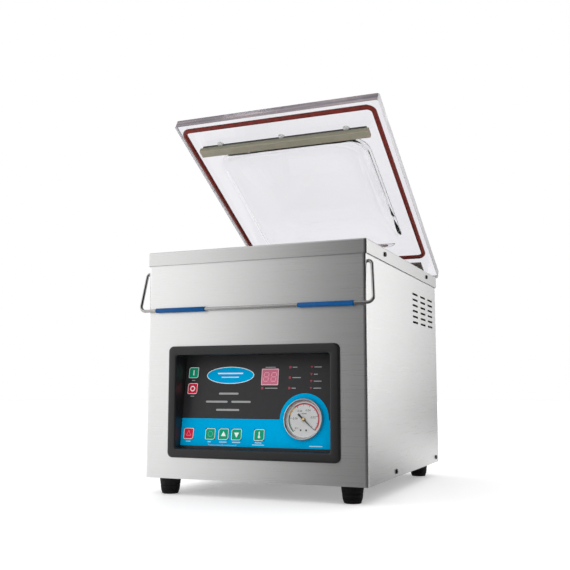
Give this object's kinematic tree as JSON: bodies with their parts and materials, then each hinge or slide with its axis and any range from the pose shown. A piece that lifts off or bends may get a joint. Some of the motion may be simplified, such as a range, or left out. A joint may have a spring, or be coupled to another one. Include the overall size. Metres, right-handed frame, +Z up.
{
  "type": "vacuum chamber sealer",
  "caption": "Tabletop vacuum chamber sealer: steel cabinet, sunken chamber with seal bar, clear domed lid on struts, hold-down bail and leaning control panel.",
  "frame": {"origin": "on the table, under the middle of the machine's box with the lid open", "axes": "+X the operator's right, -Y the front, +Z up"},
  "size_m": [0.3938, 0.5086, 0.6296],
  "materials": {
    "brushed_steel": "fine horizontal brushing, satin",
    "zinc_steel": "bright zinc plate",
    "dark_steel": "dark satin coat on plate",
    "black_rubber": "moulded rubber",
    "cutting_board": "white polyethylene board",
    "aluminium": "machined and anodised",
    "brass": "machined brass",
    "black_paint": "black paint",
    "black_plastic": "moulded black plastic",
    "bezel_plastic": "moulded charcoal plastic, fine texture",
    "panel_black": "satin black membrane",
    "panel_blue": "printed blue film",
    "display_red": "tinted window",
    "chrome": "polished steel ring",
    "dial_white": "printed white dial",
    "clear_lens": "clear lens",
    "needle_black": "black needle",
    "board_green": "circuit board",
    "cast_alloy": "cast, painted grey",
    "cast_iron": "painted casting",
    "sight_glass": "oil behind glass",
    "hose_black": "reinforced hose",
    "transformer_iron": "varnished laminations",
    "clear_acrylic": "clear cast acrylic",
    "gasket_silicone": "red-brown silicone cord",
    "pad_silicone": "olive-beige silicone",
    "rail_grey": "dark grey channel",
    "bail_steel": "drawn steel wire",
    "sleeve_blue": "blue vinyl sleeve",
    "nichrome": "resistance strip",
    "ptfe_tape": "brown glass-cloth tape",
    "key_green": "embossed green key",
    "key_red": "embossed red key"
  },
  "bodies": {
    "root": {"base_pan": "brushed_steel", "cabinet_shell": "brushed_steel", "rear_panel": "brushed_steel", "rubber_feet": "black_rubber", "chamber_deck": "brushed_steel", "chamber_tub": "brushed_steel", "filler_plates": "cutting_board", "lift_cylinders": "aluminium", "suction_fitting": "brass", "hinge_brackets": "zinc_steel", "hinge_pins": "zinc_steel", "gas_strut_tubes": "black_paint", "lid_switch": "black_plastic", "bezel": "bezel_plastic", "control_panel": "panel_black", "panel_overlay": "panel_blue", "display_window": "display_red", "indicator_lamps": "display_red", "gauge_case": "chrome", "gauge_dial": "dial_white", "gauge_lens": "clear_lens", "control_board": "board_green", "pump_body": "cast_alloy", "oil_box": "cast_iron", "oil_sight_glass": "sight_glass", "oil_filler_cap": "black_plastic", "motor_housing": "cast_alloy", "fan_cowl": "black_paint", "pump_mounts": "black_rubber", "vacuum_valves": "brass", "air_hoses": "hose_black", "transformer": "transformer_iron", "power_inlet": "black_plastic", "cabinet_screws": "black_paint"},
    "lid": {"lid_plate": "clear_acrylic", "lid_gasket": "gasket_silicone", "pad_rail": "rail_grey", "seal_pad": "pad_silicone", "pad_studs": "clear_acrylic", "hinge_leaf": "dark_steel", "lid_arms": "dark_steel", "lid_bolts": "zinc_steel"},
    "bail": {"bail_wire": "bail_steel", "bail_sleeves": "sleeve_blue"},
    "seal_bar": {"seal_bar_body": "aluminium", "sealing_wires": "nichrome", "ptfe_strip": "ptfe_tape", "electrode_pins": "brass"},
    "left_strut": {"strut_rod_left": "zinc_steel"},
    "right_strut": {"strut_rod_right": "zinc_steel"},
    "needle": {"gauge_needle": "needle_black"},
    "key_on": {"key_on": "key_green"},
    "key_off": {"key_off": "key_red"},
    "key_stop": {"key_stop": "key_red"},
    "key_set": {"key_set": "key_green"},
    "key_up": {"key_up": "key_green"},
    "key_down": {"key_down": "key_green"},
    "key_temp": {"key_temp": "key_green"},
    "plunger": {"switch_plunger": "key_red"},
    "rotor": {"motor_rotor": "black_plastic"}
  },
  "joints": [
    {"name": "lid_hinge", "type": "hinge", "parent": "root", "child": "lid", "pos_m": [0, 0.22923, 0.351], "axis": [-1, 0, 0], "range_deg": [-29, 0], "stiffness_Nm_per_rad": 5, "springref_deg": 91.67},
    {"name": "bail_swing", "type": "hinge", "parent": "root", "child": "bail", "pos_m": [0, -0.23837, 0.349], "axis": [1, 0, 0], "range_deg": [-191.32, 0]},
    {"name": "seal_bar_lift", "type": "slide", "parent": "root", "child": "seal_bar", "axis": [0, 0, -1], "range_m": [-0.008, 0]},
    {"name": "left_strut_slide", "type": "slide", "parent": "root", "child": "left_strut", "axis": [0, 0, 1], "range_m": [-0.0176, 0]},
    {"name": "right_strut_slide", "type": "slide", "parent": "root", "child": "right_strut", "axis": [0, 0, 1], "range_m": [-0.0176, 0]},
    {"name": "needle_sweep", "type": "hinge", "parent": "root", "child": "needle", "pos_m": [0.079, -0.2289, 0.11805], "axis": [0, 0.9903, -0.1392], "range_deg": [-270, 0], "stiffness_Nm_per_rad": 0.0004, "springref_deg": 17.19},
    {"name": "plunger_press", "type": "slide", "parent": "root", "child": "plunger", "axis": [0, 0, -1], "range_m": [0, 0.002], "stiffness_N_per_m": 300, "springref_m": -0.002},
    {"name": "rotor_spin", "type": "hinge", "parent": "root", "child": "rotor", "pos_m": [0.06, 0.16443, 0.11], "axis": [0, 1, 0], "continuous": true},
    {"name": "key_on_press", "type": "slide", "parent": "root", "child": "key_on", "axis": [0, 0.9903, -0.1392], "range_m": [0, 0.0005], "stiffness_N_per_m": 600, "springref_m": -0.0015},
    {"name": "key_off_press", "type": "slide", "parent": "root", "child": "key_off", "axis": [0, 0.9903, -0.1392], "range_m": [0, 0.0005], "stiffness_N_per_m": 600, "springref_m": -0.0015},
    {"name": "key_stop_press", "type": "slide", "parent": "root", "child": "key_stop", "axis": [0, 0.9903, -0.1392], "range_m": [0, 0.0005], "stiffness_N_per_m": 600, "springref_m": -0.0015},
    {"name": "key_set_press", "type": "slide", "parent": "root", "child": "key_set", "axis": [0, 0.9903, -0.1392], "range_m": [0, 0.0005], "stiffness_N_per_m": 600, "springref_m": -0.0015},
    {"name": "key_up_press", "type": "slide", "parent": "root", "child": "key_up", "axis": [0, 0.9903, -0.1392], "range_m": [0, 0.0005], "stiffness_N_per_m": 600, "springref_m": -0.0015},
    {"name": "key_down_press", "type": "slide", "parent": "root", "child": "key_down", "axis": [0, 0.9903, -0.1392], "range_m": [0, 0.0005], "stiffness_N_per_m": 600, "springref_m": -0.0015},
    {"name": "key_temp_press", "type": "slide", "parent": "root", "child": "key_temp", "axis": [0, 0.9903, -0.1392], "range_m": [0, 0.0005], "stiffness_N_per_m": 600, "springref_m": -0.0015}
  ],
  "couplings": [
    {"joint": "left_strut_slide", "follows": "lid_hinge", "m_per_rad": 0.034628},
    {"joint": "right_strut_slide", "follows": "lid_hinge", "m_per_rad": 0.034628}
  ]
}
